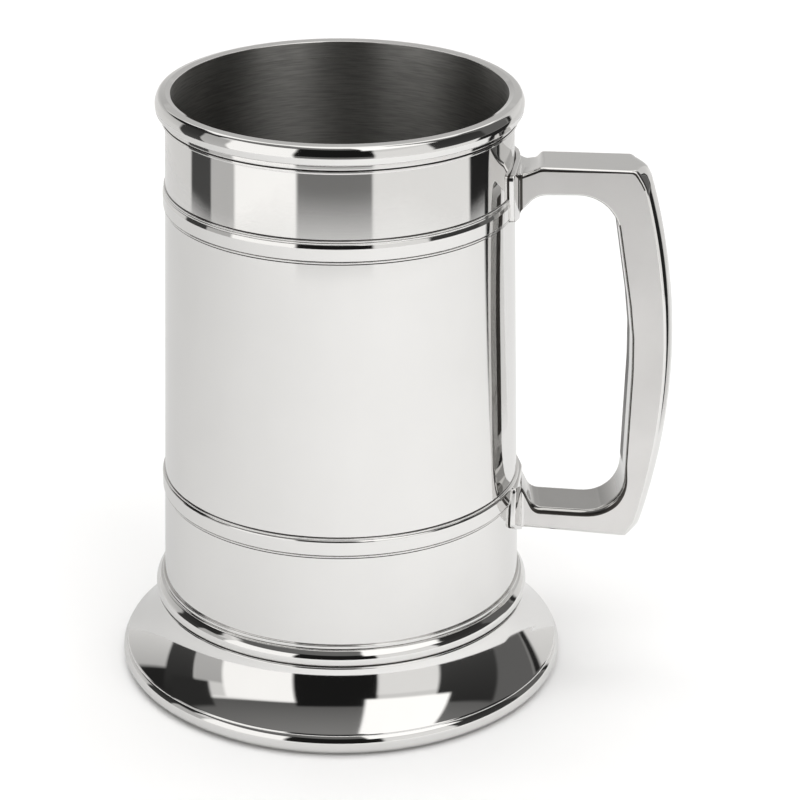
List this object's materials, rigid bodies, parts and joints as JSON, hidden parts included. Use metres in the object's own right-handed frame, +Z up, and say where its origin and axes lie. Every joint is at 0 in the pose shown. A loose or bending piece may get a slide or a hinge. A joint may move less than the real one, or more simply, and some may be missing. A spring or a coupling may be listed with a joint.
{
  "type": "tankard",
  "caption": "Footed pewter tankard with a tapered barrel, applied bands, a moulded rim, a flared foot and a square-shouldered loop handle.",
  "frame": {"origin": "centre of the foot's flat resting ring, on the barrel's axis, at table level", "axes": "+Z up along the barrel's axis, +X from the barrel's axis towards the handle, so +Y lies across the handle"},
  "size_m": [0.1307, 0.106, 0.1427],
  "materials": {
    "bright_pewter": "polished pewter, mirror bright with fine rub marks",
    "inside_pewter": "turned satin pewter",
    "satin_pewter": "satin cast pewter with polished edges"
  },
  "bodies": {
    "root": {"barrel": "bright_pewter", "floor_disc": "inside_pewter", "rim_lip": "bright_pewter", "rim_fillet": "bright_pewter", "upper_band": "bright_pewter", "lower_band": "bright_pewter", "foot_collar": "bright_pewter", "foot_skirt": "bright_pewter", "foot_bead": "bright_pewter", "handle": "satin_pewter", "upper_plate": "bright_pewter", "lower_plate": "bright_pewter"}
  },
  "joints": []
}
